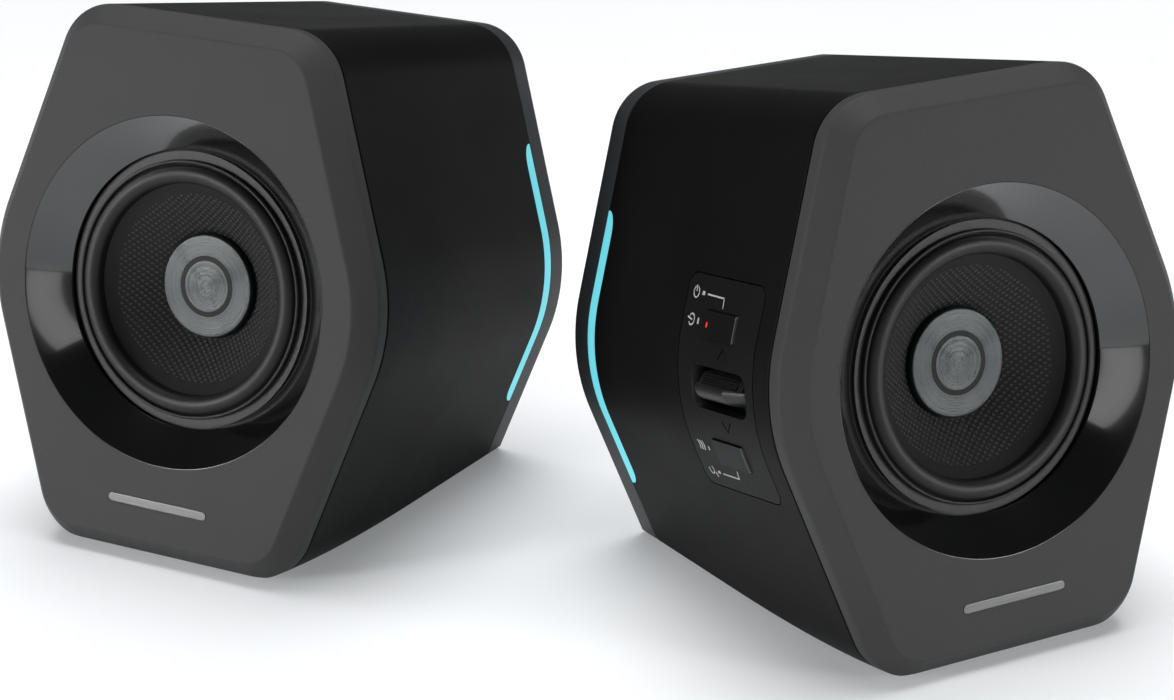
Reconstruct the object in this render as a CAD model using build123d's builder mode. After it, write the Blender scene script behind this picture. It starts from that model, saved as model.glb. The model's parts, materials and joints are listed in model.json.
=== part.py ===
"""A pair of powered desktop speakers: leaning hexagonal cabinets, each with one small full-range driver.

Millimetres, +Z up, fronts facing -Y, both speakers on the table at Z = 0. The origin is on the table, in the
middle of the pair. Each speaker is drawn on its own front plane: x across, y up the leaning front, and
depth measured back from the face. The left speaker is passive; the right one holds the amplifier.
"""
import os
from math import cos, radians, sin, tan

from build123d import *

# Where each speaker stands: the middle of its front bottom edge, and how far it is turned about +Z.
standing = {"left": (-99.77, -29.73, -27.535), "right": (101.18, -79.99, 29.52)}

# Cabinet
lean = 10.956
cabinet_depth = 101.64
foot_height = 1.2
half_bottom = 34.35
half_middle = 56.95
half_top = 34.57
middle_height = 65.8
top_height = 131.0
taper_height = 68.33
rear_scale = 0.953
end_radius = 14.3
middle_radius = 45.0
wall = 2.8

# Front bezel
face_inset = 4.565
chamfer_depth = 5.22
bezel_back = 9.1
bezel_skin = 3.2
tongue_back = 12.0
badge_height = 14.0
badge_length = 28.0
badge_width = 2.2

# Cabinet shell and rear cover
shell_front = 9.5
shell_back = 93.6
cover_front = 93.7
cover_inside = 99.2
cover_edge = 1.5
cover_screw_places = [(24.0, 119.0), (-24.0, 119.0), (28.0, 28.0), (-28.0, 28.0)]
cover_screw_seat = 100.4
recess_radius = 2.9
post_front = 70.0
post_radius = 4.0
board_screw_places = [(21.0, 41.0), (-21.0, 41.0), (21.0, 91.0), (-21.0, 91.0)]
screw_radius = 1.2
thread_hole = 1.35

# Driver, on an axis square to the front
driver_height = 65.66
horn_radius = 41.9
driver_screw_circle = 44.8
flange_radius = 47.5
flange_front = 9.1
flange_back = 11.1
frame_back = 28.0
plate_back = 31.0
magnet_back = 41.0
yoke_back = 44.0

# Light strips, in a notch at the back edge of the cabinet's sides
strip_front = 90.2
strip_bottom = 33.5
strip_top = 100.0

# Controls, on the right speaker's left side
panel_depths = (16.0, 49.3)
panel_heights = (42.0, 91.0)
power_key = (25.6, 39.1, 77.9, 83.7)
mode_key = (25.0, 38.4, 48.5, 54.7)
key_gap = 0.25
key_rise = 0.35
well = (20.2, 42.0, 62.0, 71.5)
well_corner = 2.4
rocker_pivot = (-49.0, 66.75)
rocker_depths = (22.4, 40.4)
rocker_width = 7.5
rocker_height = 6.8
rocker_offset = -1.75
ear_thickness = 1.9
pin_radius = 1.2
pin_clearance = 0.05
lamp_place = (37.9, 80.7)
lamp_radius = 0.6
lamp_hole_radius = 0.85
control_board_x = -42.5

# Sockets in the rear cover
board_front = 80.0
board_back = 81.6
jack_height = 48.0
jack_tip = 102.6
link_x = 0.0
aux_x = -13.0
power_x = 12.0
plug_radius = 1.8
plug_bore = 14.0
power_radius = 3.15
power_bore = 10.0
lone_jack_front = 86.0

# Feet, on a stand turned with the speaker: x across, y back from the front
foot_radius = 5.0
foot_places = [(-22, 18), (22, 18), (-26, 88), (26, 88)]


def front_plane(side):
    """Plane of one speaker's face: x across, y up the front, z towards the listener."""
    x, y, turn = standing[side]
    turn = radians(turn)
    outward = (sin(turn) * cos(radians(lean)), -cos(turn) * cos(radians(lean)), sin(radians(lean)))
    return Plane(origin=(x, y, foot_height), x_dir=(cos(turn), sin(turn), 0), z_dir=outward)


def side_plane(front):
    """Plane through the speaker's middle: x is depth, y is up the front, z is across to the right."""
    return Plane(origin=front.origin, x_dir=-front.z_dir, z_dir=front.x_dir)


def driver_plane(front):
    """Plane that holds the driver's axis: x is the radius, y is the depth."""
    centre = front.from_local_coords(Vector(0, driver_height, 0))
    return Plane(origin=centre, x_dir=front.x_dir, z_dir=front.y_dir)


def save(piece, name):
    """Label a finished piece and write it out."""
    piece.label = name
    export_step(piece, f"parts/{name}.step")


def section(front, depth, inset=0.0):
    """Rounded hexagonal section of the cabinet at one depth, which shrinks a little towards the back."""
    shrink = 1 - (1 - rear_scale) * depth / cabinet_depth
    rows = [(half_bottom, 0.0), (half_middle, middle_height), (half_top, top_height)]
    right = [(half * shrink, taper_height + (height - taper_height) * shrink) for half, height in rows]
    left = [(-x, y) for x, y in reversed(right)]
    with BuildSketch(front.offset(-depth)) as outline:
        Polygon(*right, *left, align=None)
        if inset:
            offset(amount=-inset, kind=Kind.INTERSECTION)
        fillet(outline.vertices().sort_by(Axis.Y)[2:4], radius=middle_radius * shrink - inset)
        corners = outline.vertices().sort_by(Axis.Y)
        fillet(corners[:2] + corners[-2:], radius=end_radius * shrink - inset)
    return outline.sketch


def slab(front, near, far, inset=0.0, far_inset=None):
    """Slice of the cabinet between two depths, drawn in by inset and cut level that far above its base."""
    far_inset = inset if far_inset is None else far_inset
    with BuildPart() as slice_of_cabinet:
        loft([section(front, near, inset), section(front, far, far_inset)], ruled=True)
        split(bisect_by=Plane.XY.offset(foot_height + max(inset, 0)), keep=Keep.TOP)
    return slice_of_cabinet.part


def hoop(front, near, far, outer, inner):
    """Band of the cabinet's wall between two depths, from one inset to a deeper one."""
    with BuildPart() as band:
        add(slab(front, near, far, outer))
        add(slab(front, near - 1, far + 1, inner), mode=Mode.SUBTRACT)
    return band.part


def side_patch(front, side, profile, outer, inner):
    """Piece of one side wall (-1 left, 1 right) that lies behind a profile on the side plane."""
    with BuildPart() as patch:
        add(hoop(front, 12, shell_back, outer, inner))
        extrude(profile, amount=side * half_middle * 1.2, mode=Mode.INTERSECT)
    return patch.part


def side_bar(front, side, profile, near, far):
    """Straight prism from a profile on the side plane, between two distances across."""
    with BuildPart() as bar:
        extrude(profile, amount=side * far)
        extrude(profile, amount=side * near, mode=Mode.SUBTRACT)
    return bar.part


def rectangle(plane, left, right, low, high, grow=0.0, radius=0.0):
    """Rectangle between four limits on a plane, grown all round and with rounded corners."""
    with BuildSketch(plane) as shape:
        with Locations(((left + right) / 2, (low + high) / 2)):
            if radius:
                RectangleRounded(right - left + 2 * grow, high - low + 2 * grow, radius + grow)
            else:
                Rectangle(right - left + 2 * grow, high - low + 2 * grow)
    return shape.sketch


def turned(front, *points):
    """Ring or disc about the driver's axis, from a closed outline of (radius, depth) points."""
    plane = driver_plane(front)
    with BuildPart() as ring:
        with BuildSketch(plane):
            Polygon(*points, align=None)
        revolve(axis=Axis(plane.origin, front.z_dir))
    return ring.part


def pins(front, places, near, far, radius):
    """Equal round pins square to the front at several places, between two depths."""
    with BuildPart() as group:
        with BuildSketch(front.offset(-near)):
            with Locations(*places):
                Circle(radius)
        extrude(amount=near - far)
    return group.part


def driver_screw_places():
    """Four places on the driver's screw circle."""
    reach = driver_screw_circle * cos(radians(45))
    return [(x * reach, driver_height + y * reach) for x in (-1, 1) for y in (-1, 1)]


def front_bezel(front, name):
    """Moulded front with chamfered edge, round mouth, screw boss and a tongue that enters the cabinet."""
    mouth = [(0, driver_height)]
    boss_ring = pins(front, mouth, 0, bezel_back, flange_radius + 0.5)
    pocket = slab(front, bezel_skin, bezel_back + 1, face_inset + 1.6)
    with BuildPart() as bezel:
        add(slab(front, 0, chamfer_depth, face_inset, 0.0))
        add(slab(front, chamfer_depth, bezel_back))
        add(pocket - boss_ring, mode=Mode.SUBTRACT)
        add(hoop(front, bezel_back - 1, tongue_back, wall + 0.15, wall + 1.75))
        add(pins(front, mouth, -1, bezel_back + 1, horn_radius + 0.15), mode=Mode.SUBTRACT)
        add(pins(front, driver_screw_places(), 4.0, bezel_back + 1, thread_hole), mode=Mode.SUBTRACT)
        with BuildSketch(front):
            with Locations((0, badge_height)):
                SlotOverall(badge_length + 0.2, badge_width + 0.2)
        extrude(amount=-0.5, mode=Mode.SUBTRACT)
    save(bezel.part, name)


def badge_bar(front, name):
    """Slim inlay low on the face."""
    with BuildPart() as badge:
        with BuildSketch(front.offset(-0.5)):
            with Locations((0, badge_height)):
                SlotOverall(badge_length, badge_width)
        extrude(amount=0.7)
    save(badge.part, name)


def horn_ring(front, name):
    """Thin gloss funnel that fills the bezel's mouth down to the driver."""
    outline = [(horn_radius, 0), (41.4, 0), (33.4, 7.0), (33.4, 9.1), (35.0, 9.1), (35.0, 7.7)]
    outline += [(40.2, 3.2), (40.2, 9.1), (horn_radius, 9.1)]
    save(turned(front, *outline), name)


def driver_basket(front, name):
    """Pressed frame: screw flange, land for the surround, four windows and a ledge for the spider."""
    outline = [(30.5, 8.3), (33.1, 8.3), (33.1, flange_front), (flange_radius, flange_front)]
    outline += [(flange_radius, flange_back), (34.8, flange_back), (29.6, 24.0), (29.6, frame_back)]
    outline += [(16.5, frame_back), (16.5, 26.6), (26.0, 26.6), (26.0, 24.6), (28.0, 24.6)]
    outline += [(28.0, 23.4), (32.6, 11.8), (30.5, 10.2)]
    with BuildPart() as basket:
        add(turned(front, *outline))
        with BuildSketch(front.offset(-13)):
            with Locations((0, driver_height)):
                with PolarLocations(32, 4):
                    Rectangle(14, 26)
        extrude(amount=-9, mode=Mode.SUBTRACT)
        add(pins(front, driver_screw_places(), 8, 12, screw_radius + 0.25), mode=Mode.SUBTRACT)
    save(basket.part, name)


def driver_gasket(front, name):
    """Rounded trim bead that clamps the surround's outer lip."""
    plane = driver_plane(front)
    with BuildPart() as gasket:
        with BuildSketch(plane):
            with BuildLine():
                Polyline((31.4, 7.3), (31.4, 7.5), (33.1, 7.5), (33.1, 7.8), (30.2, 7.8), (30.2, 7.3))
                ThreePointArc((30.2, 7.3), (30.8, 6.8), (31.4, 7.3))
            make_face()
        revolve(axis=Axis(plane.origin, front.z_dir))
    save(gasket.part, name)


def surround(front, name):
    """Half-roll rubber edge between the frame and the cone."""
    plane = driver_plane(front)
    with BuildPart() as roll:
        with BuildSketch(plane):
            with BuildLine():
                ThreePointArc((30.0, 7.8), (27.65, 6.0), (25.4, 8.3))
                Polyline((25.4, 8.3), (24.6, 8.3), (24.6, 8.8), (25.9, 8.8))
                ThreePointArc((25.9, 8.8), (27.65, 6.5), (29.6, 8.3))
                Polyline((29.6, 8.3), (33.1, 8.3), (33.1, 7.8), (30.0, 7.8))
            make_face()
        revolve(axis=Axis(plane.origin, front.z_dir))
    save(roll.part, name)


def spider(front, name):
    """Corrugated cloth disc that centres the voice coil."""
    first, last, waves = 13.0, 25.0, 6
    step = (last - first) / (2 * waves)
    crest = [(first + i * step, 23.3 if i % 2 else 24.2) for i in range(2 * waves + 1)]
    top = crest + [(27.9, 24.2)]
    under = [(radius, depth + 0.4) for radius, depth in reversed(top)]
    save(turned(front, *top, *under), name)


def moving_driver(front, side):
    """Cone, dust cap and voice coil, which travel together."""
    cone = [(25.4, 9.2), (25.4, 9.8), (13.3, 18.1), (13.3, 20.5), (12.7, 20.5), (12.7, 17.5)]
    cap = [(0, 15.2), (11.9, 15.45), (12.4, 15.9), (12.9, 17.3), (12.7, 17.3), (12.1, 16.1), (11.7, 15.95)]
    coil = [(12.3, 17.4), (12.65, 17.4), (12.65, 27), (12.95, 27), (12.95, 35.5), (12.3, 35.5)]
    save(turned(front, *cone), f"{side}_cone")
    save(turned(front, *cap, (0, 15.7)), f"{side}_dust_cap")
    save(turned(front, *coil), f"{side}_voice_coil")


def magnet_system(front, side):
    """Top plate, ring magnet and pole plate behind the frame."""
    plate = [(13.5, frame_back), (28, frame_back), (28, plate_back), (13.5, plate_back)]
    ring = [(15, plate_back), (31, plate_back), (31, magnet_back), (15, magnet_back)]
    yoke = [(0, 28.4), (11.6, 28.4), (11.6, magnet_back), (28, magnet_back), (28, yoke_back), (0, yoke_back)]
    save(turned(front, *plate), f"{side}_top_plate")
    save(turned(front, *ring), f"{side}_magnet")
    save(turned(front, *yoke), f"{side}_pole_plate")


def strip_profile(front, grow=0.0):
    """Side view of a light strip: straight back edge, tapered tips."""
    front_edge, back_edge = strip_front - grow, shell_back + grow * 5
    with BuildSketch(side_plane(front)) as profile:
        with BuildLine():
            low = strip_bottom - grow
            Polyline((back_edge, strip_top + grow), (back_edge, low), (93.0, low))
            Spline((93.0, strip_bottom - grow), (91.0, strip_bottom + 1.1 - grow), (front_edge, 37.5))
            Line((front_edge, 37.5), (front_edge, 94.5))
            Spline((front_edge, 94.5), (91.4, 97.8 + grow), (93.2, strip_top + grow))
            Line((93.2, strip_top + grow), (back_edge, strip_top + grow))
        make_face()
    return profile.sketch


def light_strips(front, side):
    """Clear light bars on both sides of one speaker, and the flexible lamp boards behind them."""
    profile = strip_profile(front)
    board = rectangle(side_plane(front), 86.0, 93.0, strip_bottom + 4, strip_top - 4)
    inner_side = 1 if side == "left" else -1
    save(side_patch(front, inner_side, profile, 0.0, wall), f"{side}_light_strip_inner")
    save(side_patch(front, -inner_side, profile, 0.0, wall), f"{side}_light_strip_outer")
    with BuildPart() as boards:
        add(side_patch(front, 1, board, wall + 1.0, wall + 1.8))
        add(side_patch(front, -1, board, wall + 1.0, wall + 1.8))
    save(boards.part, f"{side}_light_boards")


def cabinet_shell(front, side):
    """Hollow tapered body with screw posts, light strip notches and, on the right, a panel window."""
    with BuildPart() as posts:
        with BuildSketch(front.offset(-post_front)):
            for x, y in cover_screw_places:
                reach = 6 if y > driver_height else -6
                with Locations((x, y)):
                    Circle(post_radius)
                with Locations((x, y + reach)):
                    Rectangle(2.4, 12)
        extrude(amount=post_front - shell_back)
        add(slab(front, post_front - 10, shell_back, wall * 0.6), mode=Mode.INTERSECT)
        add(pins(front, cover_screw_places, 80, 95, thread_hole), mode=Mode.SUBTRACT)
    notch = strip_profile(front, 0.1)
    with BuildPart() as shell:
        add(slab(front, shell_front, shell_back))
        add(slab(front, shell_front - 1, shell_back + 1, wall), mode=Mode.SUBTRACT)
        add(posts.part)
        for sign in (-1, 1):
            add(side_bar(front, sign, notch, 30, 70), mode=Mode.SUBTRACT)
        if side == "right":
            window = rectangle(side_plane(front), *panel_depths, *panel_heights, 0.2, 3.0)
            add(side_bar(front, -1, window, 30, 70), mode=Mode.SUBTRACT)
    save(shell.part, f"{side}_cabinet_shell")


def rear_cover(front, side, sockets):
    """Shallow back pan with rounded edge, screw bosses and socket holes."""
    turn_in = cabinet_depth - cover_edge
    with BuildPart() as cover:
        add(slab(front, cover_front, turn_in))
        add(slab(front, turn_in, cabinet_depth, 0.0, cover_edge))
        add(slab(front, cover_front - 1, cover_inside, wall), mode=Mode.SUBTRACT)
        add(pins(front, cover_screw_places, cover_front, cover_inside, post_radius))
        add(pins(front, cover_screw_places, 90, 103, screw_radius + 0.3), mode=Mode.SUBTRACT)
        add(pins(front, cover_screw_places, cover_screw_seat, 103, recess_radius), mode=Mode.SUBTRACT)
        for x, radius in sockets:
            add(pins(front, [(x, jack_height)], 90, 103, radius + 2.0), mode=Mode.SUBTRACT)
        if side == "right":
            add(pins(front, board_screw_places, board_back, cover_inside, 3))
            add(pins(front, board_screw_places, board_back - 1, 92, thread_hole), mode=Mode.SUBTRACT)
    save(cover.part, f"{side}_rear_cover")


def screws(front, name, places, head, tip, head_radius, head_height):
    """Equal pan-head screws in one node: the head's underside at one depth, the tip at another."""
    outward = 1 if tip < head else -1
    with BuildPart() as group:
        add(pins(front, places, min(head, tip), max(head, tip), screw_radius))
        add(pins(front, places, *sorted((head, head + outward * head_height)), head_radius))
    save(group.part, name)


def feet(side):
    """Four rubber feet under one speaker."""
    x, y, turn = standing[side]
    across = Vector(1, 0, 0).rotate(Axis.Z, turn)
    stand = Plane(origin=(x, y, 0), x_dir=across, z_dir=(0, 0, 1))
    with BuildPart() as pads:
        with BuildSketch(stand):
            with Locations(*foot_places):
                Circle(foot_radius)
        extrude(amount=foot_height)
    save(pads.part, f"{side}_feet")


def jack(front, name, x, bore_radius, bore_length, body_front):
    """Round socket: square body inside, nose through the rear cover, blind bore from behind."""
    block = bore_radius + 2.4
    with BuildPart() as socket:
        with BuildSketch(front.offset(-body_front)):
            with Locations((x, jack_height)):
                Rectangle(2 * block, 2 * block)
        extrude(amount=body_front - cover_inside)
        add(pins(front, [(x, jack_height)], cover_inside - 1, jack_tip, bore_radius + 1.8))
        add(pins(front, [(x, jack_height)], jack_tip - bore_length, 104, bore_radius), mode=Mode.SUBTRACT)
    save(socket.part, name)


def control_panel(front):
    """Panel set flush in the cabinet's side, with key holes, rocker well and ears for the rocker's pin."""
    side = side_plane(front)
    pivot_x, pivot_y = rocker_pivot
    outline = rectangle(side, *panel_depths, *panel_heights, 0.0, 3.0)
    with BuildPart() as panel:
        add(side_patch(front, -1, outline, 0.0, wall))
        for near in (well[0] - 2.2, well[1] + 0.3):
            ear = rectangle(side, near, near + ear_thickness, pivot_y - 2.5, pivot_y + 2.5)
            add(side_bar(front, -1, ear, -pivot_x - 2.2, -pivot_x + 2.4))
        for key in (power_key, mode_key):
            hole = rectangle(side, *key, key_gap, 0.4)
            add(side_bar(front, -1, hole, 30, 70), mode=Mode.SUBTRACT)
        opening = rectangle(side, *well, 0.0, well_corner)
        add(side_bar(front, -1, opening, 30, 70), mode=Mode.SUBTRACT)
        add(pins(front, [rocker_pivot], 10, 50, pin_radius + pin_clearance), mode=Mode.SUBTRACT)
    save(panel.part, "right_control_panel")


def key(front, name, limits, window=None):
    """Push key a little proud of the panel, with a stem to its switch and a lamp window."""
    left, right, low, high = limits
    side = side_plane(front)
    with BuildSketch(side) as stem:
        with Locations(((left + right) / 2, (low + high) / 2)):
            Circle(1.5)
    with BuildPart() as button:
        add(side_patch(front, -1, rectangle(side, *limits, 0.0, 0.4), -key_rise, wall))
        add(side_bar(front, -1, stem.sketch, -control_board_x + 3.0, -control_board_x + 7.0))
        if window:
            with BuildSketch(side) as hole:
                with Locations(window):
                    Circle(lamp_hole_radius)
            add(side_bar(front, -1, hole.sketch, 30, 70), mode=Mode.SUBTRACT)
    save(button.part, name)


def volume_rocker(front):
    """Rocking bar on its pin, with a rounded outer edge."""
    near, far = rocker_depths
    with BuildPart() as rocker:
        with BuildSketch(front.offset(-near)):
            with Locations((rocker_pivot[0] + rocker_offset, rocker_pivot[1])):
                RectangleRounded(rocker_width, rocker_height, 1.6)
        extrude(amount=near - far)
        add(pins(front, [rocker_pivot], near - 1, far + 1, pin_radius + pin_clearance), mode=Mode.SUBTRACT)
    save(rocker.part, "right_volume_rocker")


def amplifier(front):
    """Boards, heat sink, lamp and rocker pin of the powered speaker."""
    side = side_plane(front)
    with BuildPart() as board:
        with BuildSketch(front.offset(-board_front)):
            with Locations((0, driver_height)):
                RectangleRounded(56, 64, 2)
        extrude(amount=board_front - board_back)
        add(pins(front, board_screw_places, 79, 83, screw_radius + 0.25), mode=Mode.SUBTRACT)
    save(board.part, "right_main_board")
    with BuildPart() as sink:
        with BuildSketch(front.offset(-(board_front - 2))):
            with Locations((0, 80)):
                Rectangle(30, 20)
        extrude(amount=-2)
        with BuildSketch(front.offset(-(board_front - 12))):
            with Locations((0, 80)):
                with GridLocations(5.6, 1, 6, 1):
                    Rectangle(1.6, 20)
        extrude(amount=-10)
    save(sink.part, "right_heat_sink")
    plate = rectangle(side, 17, 46, 44, 90)
    with BuildPart() as control_board:
        add(side_bar(front, -1, plate, -control_board_x - 1.2, -control_board_x))
        for left, right, low, high in (power_key, mode_key):
            middle_depth, middle = (left + right) / 2, (low + high) / 2
            switch = rectangle(side, middle_depth - 3, middle_depth + 3, middle - 3, middle + 3)
            add(side_bar(front, -1, switch, -control_board_x - 0.5, -control_board_x + 2))
    save(control_board.part, "right_control_board")
    with BuildSketch(side) as lens:
        with Locations(lamp_place):
            Circle(lamp_radius)
    save(side_patch(front, -1, lens.sketch, -0.15, wall), "right_status_lamp")
    save(pins(front, [rocker_pivot], well[0] - 2.2, well[1] + 2.2, pin_radius), "right_rocker_pin")


def speaker(side, sockets):
    """Everything that both speakers have."""
    front = front_plane(side)
    front_bezel(front, f"{side}_front_bezel")
    badge_bar(front, f"{side}_badge_bar")
    horn_ring(front, f"{side}_horn_ring")
    driver_basket(front, f"{side}_driver_basket")
    driver_gasket(front, f"{side}_driver_gasket")
    surround(front, f"{side}_surround")
    spider(front, f"{side}_spider")
    moving_driver(front, side)
    magnet_system(front, side)
    screws(front, f"{side}_driver_screws", driver_screw_places(), flange_back, 4.4, 2.6, 1.8)
    light_strips(front, side)
    cabinet_shell(front, side)
    rear_cover(front, side, sockets)
    screws(front, f"{side}_cover_screws", cover_screw_places, cover_screw_seat, 84, 2.6, 1.1)
    feet(side)
    return front


os.makedirs("parts", exist_ok=True)
left_front = speaker("left", [(link_x, plug_radius)])
jack(left_front, "left_link_jack", link_x, plug_radius, plug_bore, lone_jack_front)
right_front = speaker("right", [(aux_x, plug_radius), (link_x, plug_radius), (power_x, power_radius)])
jack(right_front, "right_aux_jack", aux_x, plug_radius, plug_bore, board_back)
jack(right_front, "right_link_jack", link_x, plug_radius, plug_bore, board_back)
jack(right_front, "right_power_jack", power_x, power_radius, power_bore, board_back)
control_panel(right_front)
key(right_front, "right_power_button", power_key, window=lamp_place)
key(right_front, "right_mode_button", mode_key)
volume_rocker(right_front)
amplifier(right_front)
screws(right_front, "right_board_screws", board_screw_places, board_front, 90, 2.4, 1.6)
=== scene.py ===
"""A pair of powered desktop speakers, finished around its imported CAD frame, in metres.

The file follows the speakers from the front bezel to the rear cover, then the controls of the right-hand
one, and makes each piece for both speakers where both have it.
"""
import json
import math

import bmesh
import bpy
import numpy as np
from mathutils import Matrix, Vector


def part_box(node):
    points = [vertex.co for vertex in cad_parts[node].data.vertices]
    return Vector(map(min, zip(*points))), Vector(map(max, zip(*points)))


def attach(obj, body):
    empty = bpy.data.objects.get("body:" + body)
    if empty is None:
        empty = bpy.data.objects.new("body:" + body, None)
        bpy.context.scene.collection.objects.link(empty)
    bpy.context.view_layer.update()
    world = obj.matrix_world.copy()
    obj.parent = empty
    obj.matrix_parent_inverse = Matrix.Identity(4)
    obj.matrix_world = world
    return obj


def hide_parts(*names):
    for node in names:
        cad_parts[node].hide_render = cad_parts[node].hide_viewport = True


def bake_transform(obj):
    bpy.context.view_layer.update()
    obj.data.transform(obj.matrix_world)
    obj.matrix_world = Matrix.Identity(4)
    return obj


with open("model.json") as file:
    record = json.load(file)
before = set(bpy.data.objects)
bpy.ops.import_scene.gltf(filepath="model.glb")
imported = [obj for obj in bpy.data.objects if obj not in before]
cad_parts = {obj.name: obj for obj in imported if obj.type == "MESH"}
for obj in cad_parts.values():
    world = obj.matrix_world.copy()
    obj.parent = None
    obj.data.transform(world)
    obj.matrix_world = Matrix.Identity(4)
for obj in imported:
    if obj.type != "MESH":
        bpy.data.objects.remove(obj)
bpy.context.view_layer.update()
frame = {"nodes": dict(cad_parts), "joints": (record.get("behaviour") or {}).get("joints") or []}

# Standing
# Each speaker has its own space in millimetres: across, depth back from the face, and up the leaning front.
# The driver's axis gives the lean and the turn, and the middle of its ring magnet gives the place.
SIDES = ("left", "right")
MILLIMETRE = 0.001
DRIVER_HEIGHT = 65.66
MAGNET_DEPTH = 36.0
FOOT_HEIGHT = 1.2


def standing(side):
    """Matrix from one speaker's own space in millimetres to the table in metres."""
    travel = next(joint for joint in frame["joints"] if joint["name"] == f"{side}_cone_travel")
    outward = Vector(travel["axis"]).normalized()
    across = Vector((-outward.y, outward.x, 0)).normalized()
    up = outward.cross(across)
    low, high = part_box(f"{side}_magnet")
    corner = (Vector(low) + Vector(high)) / 2 + (outward * MAGNET_DEPTH - up * DRIVER_HEIGHT) * MILLIMETRE
    turn = Matrix((across, -outward, up)).transposed().to_4x4()
    return Matrix.Translation(corner) @ turn @ Matrix.Scale(MILLIMETRE, 4)


stand = {side: standing(side) for side in SIDES}

# Camera
# A long lens a little above the speakers, looking down at the pair from the listener's chair.
camera = bpy.data.objects.new("camera", bpy.data.cameras.new("camera"))
bpy.context.scene.collection.objects.link(camera)
camera.location = (0.0058, -0.7205, 0.3203)
camera.rotation_euler = (math.radians(68.402), 0, 0)
camera.data.lens = 97.27
camera.data.shift_x = -0.00612
camera.data.shift_y = 0.03045
camera.data.clip_start = 0.01
bpy.context.scene.camera = camera

# Front bezel
# A thick moulded plate in matt dark grey with a broad chamfer all round and a round mouth. Behind it a
# tongue enters the cabinet, which leaves the thin dark seam.
OUTLINE = ((34.35, 0.0, 14.3), (56.95, 65.8, 45.0), (34.57, 131.0, 14.3))
TAPER_HEIGHT = 68.33
CABINET_DEPTH = 101.64
REAR_SCALE = 0.953
WALL = 2.8
FACE_INSET = 4.565
CHAMFER_DEPTH = 5.22
BEZEL_BACK = 9.1
TONGUE_BACK = 12.0
MOUTH_RADIUS = 42.05


def section(depth, inset=0.0, arc=16, run=12):
    """Points round the rounded hexagonal section at one depth, drawn in by inset."""
    shrink = 1 - (1 - REAR_SCALE) * depth / CABINET_DEPTH
    right = [(x * shrink, TAPER_HEIGHT + (y - TAPER_HEIGHT) * shrink, r * shrink) for x, y, r in OUTLINE]
    corners = right + [(-x, y, r) for x, y, r in reversed(right)]
    places = [Vector(corner[:2]) for corner in corners]
    edges = [(places[(i + 1) % 6] - places[i]).normalized() for i in range(6)]
    normals = [Vector((edge.y, -edge.x)) for edge in edges]
    points = []
    for i, (_, _, radius) in enumerate(corners):
        before, after = normals[i - 1], normals[i]
        centre = places[i] - (before + after) * (radius / (1 + before.dot(after)))
        start, turn = math.atan2(before.y, before.x), before.angle(after)
        for step in range(arc + 1):
            angle = start + turn * step / arc
            points.append(centre + (radius - inset) * Vector((math.cos(angle), math.sin(angle))))
    ring = []
    for i, point in enumerate(points):
        ring.append(point)
        if i % (arc + 1) == arc:
            ring += [point.lerp(points[(i + 1) % len(points)], step / run) for step in range(1, run)]
    return np.array([(x, depth, y) for x, y in ring])


def facing_circle(ring, radius, depth):
    """Points on a circle about the driver's axis, one in line with each point of a section."""
    angles = np.arctan2(ring[:, 2] - DRIVER_HEIGHT, ring[:, 0])
    across, up = radius * np.cos(angles), DRIVER_HEIGHT + radius * np.sin(angles)
    return np.stack([across, np.full(len(ring), depth), up], axis=1)


def above_base(ring, lift):
    """The same points, none of them lower than lift above the table."""
    rise = np.array(stand["left"])[2] / MILLIMETRE
    height = ring @ rise[:3] + rise[3]
    raised = ring.copy()
    raised[:, 2] += np.maximum(lift - height, 0) / rise[2]
    return raised


def skin(rings, ends="joined"):
    """Closed mesh over rings of equally many points: last ring joined to the first, or both ends filled."""
    mesh = bmesh.new()
    loops = [[mesh.verts.new(point) for point in ring] for ring in rings]
    following = loops[1:] + loops[:1] if ends == "joined" else loops[1:]
    for loop, after in zip(loops, following):
        for i in range(len(loop)):
            mesh.faces.new((loop[i - 1], loop[i], after[i], after[i - 1]))
    if ends == "filled":
        mesh.faces.new(loops[0])
        mesh.faces.new(loops[-1])
    bmesh.ops.recalc_face_normals(mesh, faces=mesh.faces)
    return mesh


def carve(mesh, tool, operation="DIFFERENCE"):
    """Cut one closed mesh with another, or keep what they share."""
    pair = []
    for shape in (mesh, tool):
        pair.append(bpy.data.objects.new("carving", bpy.data.meshes.new("carving")))
        bpy.context.scene.collection.objects.link(pair[-1])
        shape.to_mesh(pair[-1].data)
        shape.free()
    boolean = pair[0].modifiers.new("carve", "BOOLEAN")
    boolean.object = pair[1]
    boolean.operation = operation
    result = bmesh.new()
    result.from_object(pair[0], bpy.context.evaluated_depsgraph_get())
    for shape in pair:
        bpy.data.meshes.remove(shape.data)
    return result


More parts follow.
